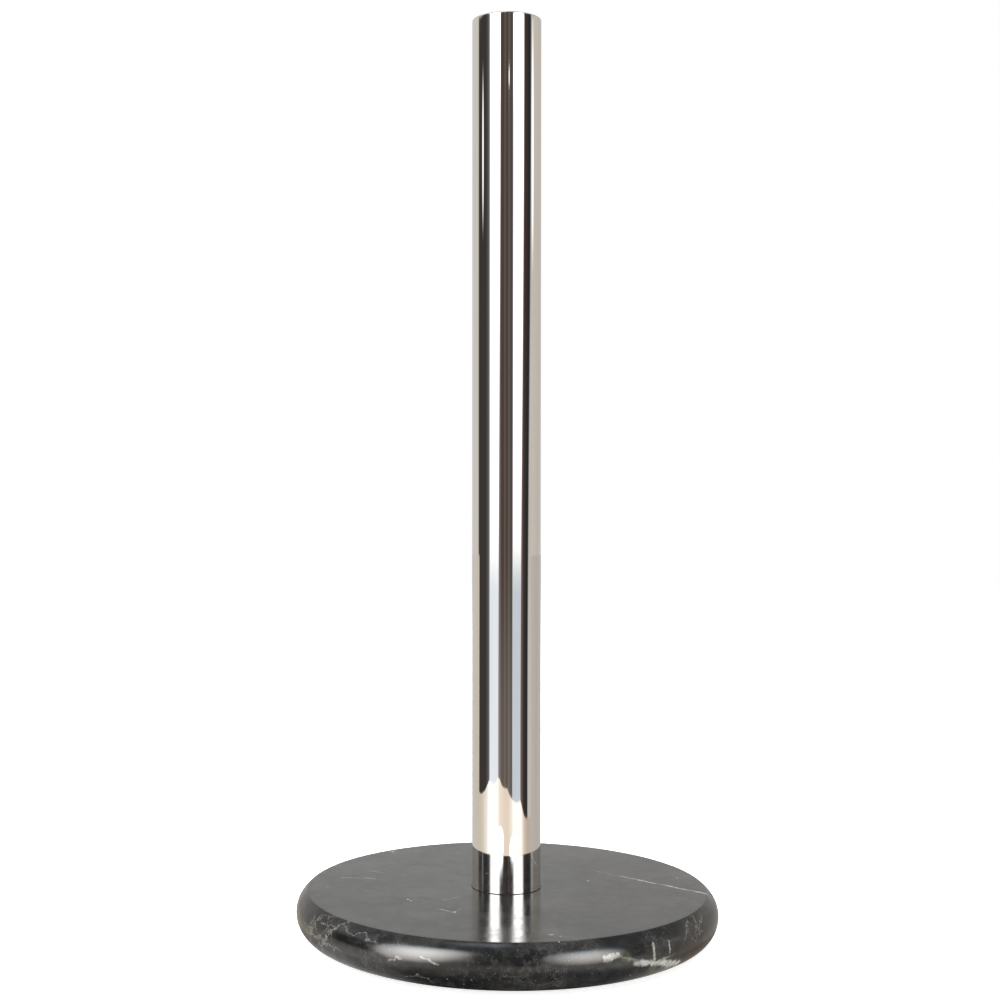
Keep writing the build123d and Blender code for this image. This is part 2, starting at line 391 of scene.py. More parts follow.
def bullnose(settings):
    """The rim's arc: its middle (r, z) and its radius."""
    radius = settings.bullnose_radius
    return (STONE_RADIUS - radius, STONE_LOW.z + radius), radius


def arris(settings):
    """The rounding between top and rim: its middle (r, z), and how far up the rim's arc ends, in degrees."""
    middle, radius = bullnose(settings)
    small = settings.arris_rounding
    height = STONE_HIGH.z - small
    out = middle[0] + sqrt((radius - small) ** 2 - (height - middle[1]) ** 2)
    return (out, height), degrees(atan2(height - middle[1], out - middle[0]))


def stone_outline(settings):
    """The stone's section, anticlockwise from the bolt hole's upper end."""
    middle, radius = bullnose(settings)
    corner, rim_end = arris(settings)
    seat_radius = GASKET_HIGH.x + settings.seat_clearance
    hole_floor = STONE_HIGH.z - settings.spigot_hole_depth
    counterbore_mouth = (settings.counterbore_radius, STONE_LOW.z)
    points = [(settings.bolt_hole_radius, RUBBER_HIGH.z)]
    points += outline_line((settings.counterbore_radius, RUBBER_HIGH.z), counterbore_mouth, steps=4)
    points += outline_line(counterbore_mouth, (middle[0], STONE_LOW.z), steps=28)
    points += outline_arc(middle, radius, -90, rim_end, steps=64)
    points += outline_arc(corner, settings.arris_rounding, rim_end, 90, steps=6)[1:]
    points += outline_line((corner[0], STONE_HIGH.z), (seat_radius, STONE_HIGH.z), steps=48)[1:]
    points += [
        (seat_radius, STONE_HIGH.z),
        (seat_radius, GASKET_LOW.z),
        (settings.spigot_hole_radius, GASKET_LOW.z),
        (settings.spigot_hole_radius, hole_floor),
        (settings.bolt_hole_radius, hole_floor),
    ]
    return points


def stone_unevenness(settings):
    """How the polished faces dip: broad soft hollows, and small chips along the arris."""
    rng = random.Random(7)
    middle, _ = bullnose(settings)
    corner, _ = arris(settings)
    chips = []
    for _ in range(settings.chips):
        angle = rng.uniform(0, tau)
        size = rng.uniform(0.35, 0.85) * MM
        place = Vector((corner[0] * cos(angle), corner[0] * sin(angle), STONE_HIGH.z))
        chips.append((place, size, rng.uniform(0.12, 0.3)))
    polished_above = STONE_LOW.z + 0.5 * MM

    def uneven(r, z, angle):
        if z < polished_above or r < GASKET_HIGH.x + 2 * settings.seat_clearance:
            return r, z
        place = Vector((r * cos(angle), r * sin(angle), z))
        broad = 0.5 + 0.5 * noise.noise(place / (17 * MM))
        fine = 0.5 + 0.5 * noise.noise(place / (6 * MM) + Vector((5, 0, 0)))
        if z > STONE_HIGH.z - HAIR and r < corner[0]:
            return r, z - settings.top_unevenness * (0.7 * broad + 0.3 * fine)
        sunk = settings.rim_unevenness * (0.75 * broad + 0.25 * fine)
        for chip, size, depth in chips:
            near = 1 - (place - chip).length / size
            if near > 0:
                sunk += depth * size * near * (0.7 + 0.6 * noise.noise(place / (0.3 * MM)))
        out = Vector((r - middle[0], z - middle[1])).normalized()
        return r - out.x * sunk, z - max(out.y, 0) * sunk

    return uneven


def vein_group():
    """A node group: how much of a vein shows at a point. A vein is a thin sheet that sways and breaks up."""
    group = bpy.data.node_groups.new("calcite vein", "ShaderNodeTree")
    for name in ("Point", "Middle", "Facing"):
        group.interface.new_socket(name, in_out="INPUT", socket_type="NodeSocketVector")
    for name in ("Sway", "Break", "Swell", "Reach", "Width", "Strength"):
        group.interface.new_socket(name, in_out="INPUT", socket_type="NodeSocketFloat")
    group.interface.new_socket("Amount", in_out="OUTPUT", socket_type="NodeSocketFloat")
    recipe = Recipe(group)
    given = recipe.node("NodeGroupInput").outputs
    offset = recipe.vector("SUBTRACT", given["Point"], given["Middle"])
    off_sheet = recipe.math("ADD", recipe.vector("DOT_PRODUCT", offset, given["Facing"]), given["Sway"])
    off_sheet = recipe.math("ABSOLUTE", off_sheet)
    far = recipe.math("DIVIDE", recipe.vector("LENGTH", offset), given["Reach"])
    width = recipe.times(given["Width"], recipe.math("ADD", given["Swell"], 0.35))
    line = recipe.rise(recipe.math("DIVIDE", off_sheet, width), 0.25, 1.0, 1.0, 0.0)
    whole = recipe.times(line, recipe.rise(far, 0.72, 1.0, 1.0, 0.0))
    patchy = recipe.rise(given["Break"], 0.28, 0.55, 0.7, 1.0)
    amount = recipe.times(recipe.times(whole, patchy), given["Strength"])
    recipe.node("NodeGroupOutput", {"Amount": amount})
    return group


def on_rim(settings, azimuth, height):
    """A point on the rim in millimetres, from its degrees round from the front and its height."""
    middle, radius = bullnose(settings)
    lift = max(-radius, min(radius, height * MM - middle[1]))
    out = middle[0] + sqrt(radius**2 - lift**2)
    angle = radians(azimuth)
    return Vector((out * sin(angle), -out * cos(angle), middle[1] + lift)) / MM


def on_top(x, y):
    return Vector((x, y, STONE_HIGH.z / MM))


def placed_veins(settings):
    """Every vein as its two ends, the direction it runs into the stone, its width, strength and sway."""
    rng = random.Random(23)
    veins = []
    for start, end, *look in TOP_VEINS:
        lean = Vector((rng.uniform(-0.4, 0.4), rng.uniform(-0.4, 0.4), -1))
        veins.append((on_top(*start), on_top(*end), lean, *look))
    for start, end, *look in RIM_VEINS:
        first, second = on_rim(settings, *start), on_rim(settings, *end)
        inward = -(first + second)
        inward.z = 0
        veins.append((first, second, inward.normalized(), *look))
    for _ in range(SPARE_VEINS):
        azimuth = rng.uniform(*BACK_OF_RIM)
        start = on_rim(settings, azimuth, rng.uniform(3, 18))
        end = on_rim(settings, azimuth + rng.uniform(-16, 16), rng.uniform(3, 18))
        inward = Vector((-start.x, -start.y, 0)).normalized()
        look = (rng.uniform(0.3, 0.7), rng.uniform(0.3, 0.8), rng.uniform(0.5, 2))
        veins.append((start, end, inward, *look))
    return veins


def placed_flecks(settings):
    """Every fleck as its middle, its radius and its strength."""
    rng = random.Random(31)
    flecks = [(on_top(*place), size, strength) for place, size, strength in TOP_FLECKS]
    flecks += [(on_rim(settings, *place), size, strength) for place, size, strength in RIM_FLECKS]
    for _ in range(SPARE_FLECKS):
        place = on_rim(settings, rng.uniform(*BACK_OF_RIM), rng.uniform(4, 18))
        flecks.append((place, rng.uniform(0.3, 0.8), rng.uniform(0.3, 0.9)))
    return flecks


def closeness(recipe, point, middle, radius):
    """One at a middle, falling to nought at a radius from it."""
    distance = recipe.vector("LENGTH", recipe.vector("SUBTRACT", point, tuple(middle)))
    return recipe.rise(distance, 0.35 * radius, radius, 1.0, 0.0)


def black_marble(settings):
    """Black marble with calcite veins: polished above, only sawn and honed beneath."""
    material, recipe = new_finish("black_marble")
    point = recipe.millimetres()
    sway = recipe.math("SUBTRACT", recipe.noise(point, 0.22, 3.0, 0.6), 0.5)
    crumble = recipe.noise(point, 1.1, 3.0, 0.6)
    swell = recipe.noise(point, 0.5, 3.0, 0.6)
    wander = recipe.vector("SUBTRACT", recipe.noise(point, 0.3, 3.0, 0.6, "Color"), MIDDLE_GREY)
    fray = recipe.vector("SUBTRACT", recipe.noise(point, 1.0, 3.0, 0.65, "Color"), MIDDLE_GREY)
    frayed = recipe.vector("ADD", point, recipe.scaled(fray, FRAY))

    # A material this large turns black when too many of its values wait at once, so the veins join one by one
    # and no bump hangs on them.
    group = vein_group()
    veins = 0.0
    for start, end, inward, width, strength, swing in placed_veins(settings):
        along = end - start
        facing = along.cross(inward).normalized()
        inputs = {
            "Point": frayed,
            "Middle": tuple((start + end) / 2),
            "Facing": tuple(facing),
            "Sway": recipe.times(sway, VEIN_SWING * swing),
            "Break": crumble,
            "Swell": swell,
            "Reach": along.length * VEIN_REACH,
            "Width": width,
            "Strength": strength,
        }
        vein = recipe.node("ShaderNodeGroup", node_tree=group)
        for name, value in inputs.items():
            recipe.feed(vein.inputs[name], value)
        veins = recipe.larger(veins, vein.outputs["Amount"])
    for middle, size, strength in placed_flecks(settings):
        fleck = closeness(recipe, frayed, middle, size)
        veins = recipe.larger(veins, recipe.times(fleck, strength))

    strayed = recipe.vector("ADD", point, recipe.scaled(wander, STRAY))
    threads = recipe.rise(recipe.cell_edges(strayed, 0.17), 0.002, 0.075, 0.27, 0.0)
    for place, radius in CRACKLES:
        patch = closeness(recipe, point, on_rim(settings, *place), radius)
        shown = recipe.times(patch, recipe.rise(crumble, 0.35, 0.6))
        veins = recipe.larger(veins, recipe.times(threads, shown))
    hairlines = recipe.rise(recipe.cell_edges(strayed, 0.06), 0.001, 0.006, 0.22, 0.0)
    sparse = recipe.rise(recipe.noise(point, 0.05, 1.0), 0.5, 0.62)
    sparse = recipe.times(sparse, crumble)
    veins = recipe.larger(veins, recipe.times(hairlines, sparse))
    patches = recipe.rise(recipe.noise(point, 0.05, 2.0), 0.4, 0.62)
    specks = recipe.rise(recipe.noise(point, 1.5, 2.0, 0.5), 0.66, 0.76, 0.0, 0.28)
    veins = recipe.larger(veins, recipe.times(specks, patches))

    bedding = recipe.scaled(strayed, (0.05, 0.05, 0.17))
    clouds = recipe.rise(recipe.noise(bedding, 1.0, 5.0, 0.62), 0.42, 0.72)
    ground = recipe.mix(clouds, tuple(settings.ground_colour), tuple(settings.cloud_colour))
    haze = recipe.rise(recipe.noise(frayed, 0.33, 5.0, 0.7), 0.44, 0.72, 0.0, 0.5)
    haze = recipe.times(haze, recipe.math("MULTIPLY_ADD", patches, 0.7, 0.3))
    ground = recipe.mix(haze, ground, tuple(settings.haze_colour))
    for place, radius in OLIVE_PATCHES:
        patch = closeness(recipe, strayed, on_rim(settings, *place), radius)
        ground = recipe.mix(patch, ground, tuple(settings.olive_colour))
    stained = recipe.mix(recipe.rise(swell, 0.35, 0.6), STAIN, tuple(settings.vein_colour))
    colour = recipe.mix(veins, ground, stained)

    height = recipe.node("ShaderNodeSeparateXYZ", {0: point}).outputs["Z"]
    honed = recipe.rise(height, STONE_LOW.z / MM + 0.9, STONE_LOW.z / MM + 0.2)
    colour = recipe.mix(recipe.times(honed, 0.75), colour, SAWN_STONE)
    recipe.shade("Base Color", colour)

    smudges = recipe.rise(recipe.noise(strayed, 0.11, 4.0, 0.65), 0.35, 0.7, 0.0, 0.07)
    top = STONE_HIGH.z / MM
    polish = recipe.math("ADD", recipe.rise(height, top - 0.02, top - 0.3, 0.165, 0.15), smudges)
    polish = recipe.math("ADD", polish, recipe.times(veins, 0.1))
    polish = recipe.larger(polish, recipe.times(honed, 0.6))
    recipe.shade("Roughness", polish)
    recipe.shade("IOR", 1.5)

    orange_peel = recipe.bump(recipe.noise(point, 0.4, 3.0, 0.6), 0.011 * MM)
    grain = recipe.bump(recipe.noise(point, 3.5, 2.0), 0.0008 * MM, orange_peel)
    saw = recipe.noise(recipe.scaled(point, (0.15, 4.0, 0.15)), 1.0, 3.0)
    sawn = recipe.bump(recipe.times(saw, honed), 0.02 * MM, grain)
    recipe.shade("Normal", sawn)
    return material


# ---------------------------------------------------------------- the post


def post_outline(settings):
    """The tube's section, up the outside and down the bore."""
    rounding = settings.rim_rounding
    shoulder = (POST_RADIUS - rounding, TUBE_HIGH.z - rounding)
    points = outline_line((POST_RADIUS, TUBE_LOW.z), (POST_RADIUS, shoulder[1]), steps=240)
    points += outline_arc(shoulder, rounding, 0, 90, steps=10)
    points += [(POST_BORE_RADIUS, TUBE_HIGH.z), (POST_BORE_RADIUS, TUBE_LOW.z)]
    return points


def post_unevenness(settings):
    """Shallow facets and ripples that the belt leaves along the tube."""

    def uneven(r, z, angle):
        if r < POST_RADIUS - HAIR:
            return r, z
        drift = Vector((cos(angle) * 1.6, sin(angle) * 1.6, z / (70 * MM)))
        ripple = Vector((cos(angle) * 2.5, sin(angle) * 2.5, z / (16 * MM)))
        sunk = 0.75 * (0.5 + 0.5 * noise.noise(drift)) + 0.25 * (0.5 + 0.5 * noise.noise(ripple))
        return r - settings.waviness * sunk, z

    return uneven


def mirror_steel(settings):
    """Mirror-polished steel: faint lines from the buffing wheel run round it, and streaks along it."""
    material, recipe = new_finish("mirror_polished_steel")
    point = recipe.millimetres()
    recipe.shade("Metallic", 1.0)
    lines = recipe.noise(recipe.scaled(point, (0.05, 0.05, 1.3)), 1.0, 3.0, 0.6)
    streaks = recipe.noise(recipe.scaled(point, (0.5, 0.5, 0.012)), 1.0, 3.0, 0.6)
    dull = dimmed(settings.steel_colour, 0.95)
    tone = recipe.mix(recipe.rise(streaks, 0.35, 0.65), dull, tuple(settings.steel_colour))
    recipe.shade("Base Color", tone)
    hazes = recipe.noise(recipe.scaled(point, (0.12, 0.12, 0.02)), 1.0, 3.0)
    hazy = recipe.rise(hazes, 0.4, 0.8, 0.02, 0.05)
    rough = recipe.math("ADD", hazy, recipe.rise(lines, 0.5, 0.8, 0.0, 0.02))
    recipe.shade("Roughness", rough)
    recipe.shade("Normal", recipe.bump(lines, 0.0003 * MM))
    return material


def ground_steel(settings):
    """The cap's end: polished like the tube, with rings left by facing it off."""
    material, recipe = new_finish("faced_and_polished_steel")
    point = recipe.millimetres()
    recipe.shade("Base Color", tuple(settings.steel_colour))
    recipe.shade("Metallic", 1.0)
    from_axis = recipe.vector("LENGTH", recipe.scaled(point, (1.0, 1.0, 0.0)))
    ring_place = recipe.node("ShaderNodeCombineXYZ", {0: from_axis}).outputs[0]
    rings = recipe.noise(ring_place, 5.0, 4.0, 0.7)
    recipe.shade("Roughness", recipe.rise(rings, 0.3, 0.8, 0.16, 0.26))
    recipe.shade("Anisotropic", 0.7)
    around = recipe.node("ShaderNodeTangent", direction_type="RADIAL", axis="Z").outputs["Tangent"]
    recipe.shade("Tangent", around)
    recipe.shade("Normal", recipe.bump(rings, 0.003 * MM))
    return material


# ---------------------------------------------------------------- the fittings


def turned_steel(name, colour, rough, streak):
    """Steel with fine lines round the axis, as a lathe leaves them. streak is their depth in millimetres."""
    material, recipe = new_finish(name)
    point = recipe.millimetres()
    from_axis = recipe.vector("LENGTH", recipe.scaled(point, (1.0, 1.0, 0.0)))
    height = recipe.node("ShaderNodeSeparateXYZ", {0: point}).outputs["Z"]
    lathe_place = recipe.node("ShaderNodeCombineXYZ", {0: from_axis, 2: height}).outputs[0]
    lines = recipe.noise(lathe_place, 7.0, 3.0, 0.65)
    stains = recipe.noise(point, 0.35, 4.0, 0.65)
    dull = dimmed(colour, 0.72)
    recipe.shade("Base Color", recipe.mix(recipe.rise(stains, 0.35, 0.7), dull, tuple(colour)))
    recipe.shade("Metallic", 1.0)
    recipe.shade("Roughness", recipe.rise(lines, 0.25, 0.8, rough, rough + 0.2))
    recipe.shade("Normal", recipe.bump(lines, streak * MM))
    return material


def moulded_rubber(name, colour):
    """Soft rubber with a fine mould grain, greyer where dust has settled."""
    material, recipe = new_finish(name)
    point = recipe.millimetres()
    dust = recipe.rise(recipe.noise(point, 0.5, 5.0, 0.7), 0.45, 0.8)
    dusty = (*(channel + 0.03 for channel in colour[:3]), 1.0)
    recipe.shade("Base Color", recipe.mix(dust, tuple(colour), dusty))
    recipe.shade("Roughness", recipe.rise(dust, 0.0, 1.0, 0.55, 0.8))
    recipe.shade("Specular IOR Level", 0.4)
    recipe.shade("Normal", recipe.bump(recipe.noise(point, 6.0, 3.0), 0.01 * MM))
    return material


def give_finish(nodes, material):
    """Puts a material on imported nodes."""
    for name in nodes:
        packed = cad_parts[name]
        if not packed.material_slots:
            packed.data.materials.append(material)
        for place in packed.material_slots:
            place.link = "OBJECT"
            place.material = material


# ---------------------------------------------------------------- the studio

# What stands round the holder, by degrees round from the front, right positive: a reflection's colour
SURROUNDINGS = (
    (-180, (0.73, 0.725, 0.71)),
    (-162, (0.66, 0.645, 0.62)),
    (-135, (0.65, 0.62, 0.58)),
    (-112, (0.66, 0.62, 0.56)),
    (-107, (0.05, 0.04, 0.033)),
    (-78, (0.044, 0.04, 0.038)),
    (-71, (0.06, 0.058, 0.06)),
    (-64, (0.14, 0.138, 0.145)),
    (-60, (0.25, 0.25, 0.26)),
    (-24, (0.2, 0.17, 0.17)),
    (-20, (0.08, 0.055, 0.055)),
    (-12, (0.075, 0.055, 0.048)),
    (-8, (0.14, 0.105, 0.09)),
    (-6, (0.13, 0.095, 0.08)),
    (-3, (0.07, 0.05, 0.04)),
    (0, (0.07, 0.05, 0.04)),
    (4, (0.14, 0.11, 0.095)),
    (8, (0.105, 0.098, 0.09)),
    (14, (0.06, 0.06, 0.058)),
    (19, (0.16, 0.16, 0.165)),
    (56, (0.16, 0.11, 0.11)),
    (61, (0.075, 0.033, 0.036)),
    (70, (0.034, 0.036, 0.032)),
    (80, (0.022, 0.022, 0.022)),
    (84, (0.03, 0.03, 0.03)),
    (89, (0.58, 0.56, 0.54)),
    (103, (0.61, 0.56, 0.5)),
    (125, (0.58, 0.53, 0.47)),
    (150, (0.54, 0.51, 0.48)),
    (180, (0.73, 0.725, 0.71)),
)


class LampEdge(NamedTuple):
    azimuth: float  # degrees round from the front
    low_drift: float  # degrees that it drifts to the left near the table
    high_drift: float  # and to the right high up


# Each lamp's left and right edge, and the colour of the paper that hangs below it
LAMPS = (
    (LampEdge(-60, 0.0, -14.0), LampEdge(-23, 7.0, 0.0), (0.87, 0.92, 0.97, 1.0)),
    (LampEdge(19.5, 1.5, 8.0), LampEdge(57, 12.5, 4.0), (0.62, 0.68, 0.74, 1.0)),
)
LAMP_FOOT = -2.8  # degrees up from level where a lamp's white sheet starts
LAMP_HEAD = 47.0  # and where it ends
LAMP_TUBE = (16.5, 3.2)  # degrees up from level of its bright tube's middle, and half the tube's thickness
LAMP_SHEET = (1.45, 1.42, 1.38, 1.0)
CEILING = grey(0.36)
DARK_CEILING = (0.12, 0.12, 0.125, 1.0)  # in front, between the lamps
SKYLIGHT = (2.2, 2.4, 2.7, 1.0)
TABLE_WARMTH = (1.0, 0.93, 0.86, 1.0)  # of the light that the table throws between the lamps

# Small bright things among the surroundings: degrees round and up of the middle, half sizes, and brightness
GLINTS = (
    ((-88.5, 11.3), (4.0, 2.9), 1.25),
    ((5.5, 13.8), (1.8, 0.42), 1.4),
    ((94, 11.6), (7.0, 4.6), 1.3),
    ((-104, 29.0), (24.0, 13.0), 0.75),
)

# How far the table reaches from the post, in metres, by degrees round from the front
TABLE_EDGE = (
    (-104, 0.295),
    (-84, 0.297),
    (-68, 0.32),
    (-60, 0.336),
    (-38, 0.33),
    (-30, 0.347),
    (-24, 0.342),
    (-17, 0.323),
    (0, 0.315),
    (12, 0.29),
    (20, 0.281),
    (44, 0.281),
    (50, 0.262),
    (57, 0.24),
    (84, 0.236),
)
TABLE_REACH = 3.0  # of the rest of the table, behind and beside
TABLE_TURN = (3, 12)  # degrees from the near edge to the first far point, and from each to the next
TABLE_LEVEL = -0.1 * MM
FLOOR_LEVEL = -0.2 * MM
FLOOR_STEPS = 64  # round its edge


class Strip(NamedTuple):
    azimuth: float  # of its middle, in degrees round from the front
    height: float  # of its middle above the table
    half_length: float  # in degrees
    half_height: float
    climb: float  # in metres per degree
    brightness: float


# Two strips of light that stand close to the rim
STRIP_RADIUS = 84 * MM
STRIP_STEPS = 24
STRIPS = {
    "left_strip": Strip(-26.5, 18.8 * MM, 10.5, 6 * MM, 0.2 * MM, 17.0),
    "right_strip": Strip(19.5, 17.8 * MM, 8.5, 5 * MM, 0.0, 11.5),
}

FILL_SPREAD = 60  # degrees across the soft light from above
FILL_TILT = (35, 0, -25)  # degrees that it is turned from straight down
SENSOR_WIDTH = 36.0
NEAREST_SEEN = 10 * MM

# The table's painted light, the glow that stands in for what the lamps throw on it, by degrees round from the
# front
TABLE_PAINTED_LIGHT = (
    (-180, (0.62, 0.6, 0.57)),
    (-150, (0.62, 0.6, 0.57)),
    (-112, (0.64, 0.59, 0.52)),
    (-100, (0.66, 0.6, 0.49)),
    (-88, (0.72, 0.65, 0.53)),
    (-78, (0.86, 0.78, 0.68)),
    (-70, (0.97, 0.92, 0.86)),
    (-62, (1.25, 1.22, 1.2)),
    (-31, (1.25, 1.2, 1.14)),
    (-25, (1.0, 0.9, 0.79)),
    (-15, (0.93, 0.79, 0.66)),
    (0, (0.9, 0.76, 0.63)),
    (8, (0.93, 0.81, 0.69)),
    (15, (1.05, 0.98, 0.9)),
    (20, (1.3, 1.26, 1.2)),
    (47, (1.25, 1.2, 1.1)),
    (53, (0.9, 0.79, 0.68)),
    (62, (0.66, 0.54, 0.44)),
    (72, (0.56, 0.47, 0.39)),
    (85, (0.54, 0.5, 0.45)),
    (120, (0.5, 0.47, 0.44)),
    (150, (0.52, 0.49, 0.46)),
    (180, (0.62, 0.6, 0.57)),
)


def degrees_round(recipe, direction):
    """Degrees round from the front, right positive, and how far up from the origin."""
    parts = recipe.node("ShaderNodeSeparateXYZ", {0: direction}).outputs
    turn = recipe.math("ARCTAN2", parts["X"], recipe.times(parts["Y"], -1.0))
    return recipe.times(turn, 180 / pi), parts["Z"]


def colour_round(recipe, azimuth, colours, strongest=1.0):
    """The colour at some degrees round, from a table of them, as a share of the strongest light."""
    stops = []
    for place, colour in colours:
        stops.append((place / 360 + 0.5, tuple(channel / strongest for channel in colour)))
    return recipe.ramp(recipe.math("MULTIPLY_ADD", azimuth, 1 / 360, 0.5), stops)


def studio_world(settings):
    """Two lamps and dark gaps in front, pale walls behind, and plain white in plain sight."""
    world = bpy.data.worlds.new("studio")
    world.use_nodes = True
    tree = world.node_tree
    tree.nodes.clear()
    recipe = Recipe(tree)
    direction = recipe.node("ShaderNodeTexCoord").outputs["Generated"]
    azimuth, up = degrees_round(recipe, direction)
    elevation = recipe.times(recipe.math("ARCSINE", up), 180 / pi)
    low = recipe.rise(elevation, 14.0, -10.0)
    high = recipe.rise(elevation, 17.0, 34.0)

    beside = recipe.rise(azimuth, 30.0, 85.0, 0.0, 16.0)
    leaned = recipe.math("MULTIPLY_ADD", low, beside, azimuth)
    walls = colour_round(recipe, leaned, SURROUNDINGS)
    between = recipe.times(recipe.band(azimuth, -32, 20, 3), recipe.rise(elevation, -2.0, -9.0))
    walls = recipe.mix(recipe.times(between, 0.06), walls, TABLE_WARMTH)
    ceiling = recipe.mix(recipe.band(azimuth, -16, 24, 14), CEILING, DARK_CEILING)
    walls = recipe.mix(recipe.rise(elevation, 17.0, 38.0), walls, ceiling)
    overhead = recipe.times(recipe.band(azimuth, -85, -5, 25), recipe.rise(elevation, 66.0, 80.0))
    walls = recipe.mix(overhead, walls, SKYLIGHT)

    level, thickness = LAMP_TUBE
    for *edges, paper in LAMPS:
        past = []
        for edge in edges:
            drifted = recipe.math("MULTIPLY_ADD", low, edge.low_drift, azimuth)
            from_edge = recipe.math("SUBTRACT", drifted, edge.azimuth)
            past.append(recipe.math("MULTIPLY_ADD", high, -edge.high_drift, from_edge))
        past_left, past_right = (recipe.rise(distance, -1.2, 1.2) for distance in past)
        across = recipe.times(past_left, recipe.math("SUBTRACT", 1.0, past_right))
        down = recipe.rise(elevation, LAMP_HEAD - 4.0, LAMP_HEAD + 4.0, 1.0, 0.0)
        walls = recipe.mix(recipe.times(across, down), walls, LAMP_SHEET)
        below = recipe.rise(elevation, LAMP_FOOT + 1.4, LAMP_FOOT - 1.4)
        walls = recipe.mix(recipe.times(across, below), walls, paper)
        inside = recipe.times(recipe.rise(past[0], 0.0, 7.0), recipe.rise(past[1], 0.0, -7.0))
        lit = recipe.band(elevation, level - thickness, level + thickness, 1.0)
        walls = recipe.mix(recipe.times(inside, lit), walls, grey(settings.lamp_strength))

    for (glint_azimuth, glint_elevation), (half_width, half_height), brightness in GLINTS:
        off_middle = recipe.math("DIVIDE", recipe.math("SUBTRACT", azimuth, glint_azimuth), half_width)
        off_level = recipe.math("DIVIDE", recipe.math("SUBTRACT", elevation, glint_elevation), half_height)
        place = recipe.node("ShaderNodeCombineXYZ", {0: off_middle, 1: off_level}).outputs[0]
        spot = recipe.rise(recipe.vector("LENGTH", place), 0.5, 1.1, 1.0, 0.0)
        walls = recipe.mix(spot, walls, grey(brightness))

    seen = recipe.node("ShaderNodeBackground", {"Color": WHITE})
    around = recipe.node("ShaderNodeBackground", {"Color": walls})
    plain_sight = recipe.node("ShaderNodeLightPath").outputs["Is Camera Ray"]
    both = recipe.node("ShaderNodeMixShader", {0: plain_sight, 1: around.outputs[0], 2: seen.outputs[0]})
    recipe.node("ShaderNodeOutputWorld", {"Surface": both.outputs[0]})
    bpy.context.scene.world = world


def flat_shape(name, edge, height, material):
    """A flat shape round the axis at a height, given its edge's points in order."""
    mesh = bmesh.new()
    middle = mesh.verts.new((0, 0, height))
    rim = [mesh.verts.new((x, y, height)) for x, y in edge]
    for first, second in zip(rim, rim[1:] + rim[:1]):
        mesh.faces.new((middle, first, second))
    shape = add_object(name, mesh)
    shape.data.materials.append(material)
    return shape


def only_mirrored(shape):
    """Hides a shape from all but reflections."""
    shape.visible_camera = False
    shape.visible_diffuse = False
    shape.visible_shadow = False


def only_glowing(recipe, strength):
    """Makes a finish that glows and reflects nothing."""
    recipe.shade("Base Color", BLACK)
    recipe.shade("Specular IOR Level", 0.0)
    recipe.shade("Emission Strength", strength)


def floor_finish(settings):
    """White paper that fades out before its edge."""
    material, recipe = new_finish("white_paper")
    point = recipe.metres()
    away = recipe.vector("LENGTH", point)
    recipe.shade("Base Color", tuple(settings.floor_colour))
    recipe.shade("Roughness", 1.0)
    recipe.shade("Specular IOR Level", 0.0)
    recipe.shade("Emission Color", WHITE)
    recipe.shade("Emission Strength", settings.floor_glow)
    kept = recipe.rise(away, 0.35 * settings.floor_radius, 0.9 * settings.floor_radius, 1.0, 0.0)
    recipe.shade("Alpha", kept)
    return material


def table_painted_light_finish():
    """What the post and the rim mirror of the table, a glow of painted light: bright under the lamps, dark
    with painted shadow close to the stone.
    """
    material, recipe = new_finish("painted_light_table")
    point = recipe.metres()
    azimuth, _ = degrees_round(recipe, point)
    strongest = max(max(colour) for _, colour in TABLE_PAINTED_LIGHT)
    light = colour_round(recipe, azimuth, TABLE_PAINTED_LIGHT, strongest)
    away = recipe.vector("LENGTH", point)
    to_side = recipe.rise(recipe.math("ABSOLUTE", azimuth), 12.0, 55.0)
    light_from = recipe.math("MULTIPLY_ADD", to_side, -20 * MM, STONE_RADIUS + 34 * MM)
    # Painted shadow: the table's glow drops to a twentieth close round the stone, as if the stone shaded it,
    # less so to the sides
    open_to_light = recipe.rise(away, STONE_RADIUS - 3 * MM, light_from, 0.04, 1.0)
    open_to_light = recipe.larger(open_to_light, recipe.times(to_side, 0.5))
    mottle = recipe.rise(recipe.noise(point, 9.0, 3.0), 0.3, 0.7, 0.97, 1.0)
    shade = recipe.times(open_to_light, mottle)
    recipe.shade("Emission Color", recipe.mix(shade, BLACK, light))
    only_glowing(recipe, strongest)
    return material


def table_edge():
    """The table's outline: its near edge in front, and far away all round the rest."""
    outline = []
    for azimuth, reach in TABLE_EDGE:
        angle = radians(azimuth)
        outline.append((reach * sin(angle), -reach * cos(angle)))
    first, step = TABLE_TURN
    for azimuth in range(TABLE_EDGE[-1][0] + first, TABLE_EDGE[0][0] + 360, step):
        angle = radians(azimuth)
        outline.append((TABLE_REACH * sin(angle), -TABLE_REACH * cos(angle)))
    return outline


def strip_finish(name, strip):
    """A strip's light, brightest in its middle and fading out to all its edges."""
    material, recipe = new_finish(name)
    azimuth, height = degrees_round(recipe, recipe.metres())
    along = recipe.math("SUBTRACT", azimuth, strip.azimuth)
    above = recipe.math("SUBTRACT", height, strip.height)
    above = recipe.math("SUBTRACT", above, recipe.times(along, strip.climb))
    across = recipe.math("DIVIDE", along, strip.half_length)
    up = recipe.math("DIVIDE", above, strip.half_height)
    place = recipe.node("ShaderNodeCombineXYZ", {0: across, 1: up}).outputs[0]
    spot = recipe.rise(recipe.vector("LENGTH", place), 0.1, 1.9, 1.0, 0.0)
    tint = recipe.mix(recipe.rise(up, -1.2, 1.2), (1.0, 0.93, 0.87, 1.0), (0.93, 0.98, 1.0, 1.0))
    recipe.shade("Emission Color", recipe.mix(spot, BLACK, tint))
    recipe.shade("Alpha", recipe.rise(spot, 0.0, 0.3))
    only_glowing(recipe, strip.brightness)
    return material


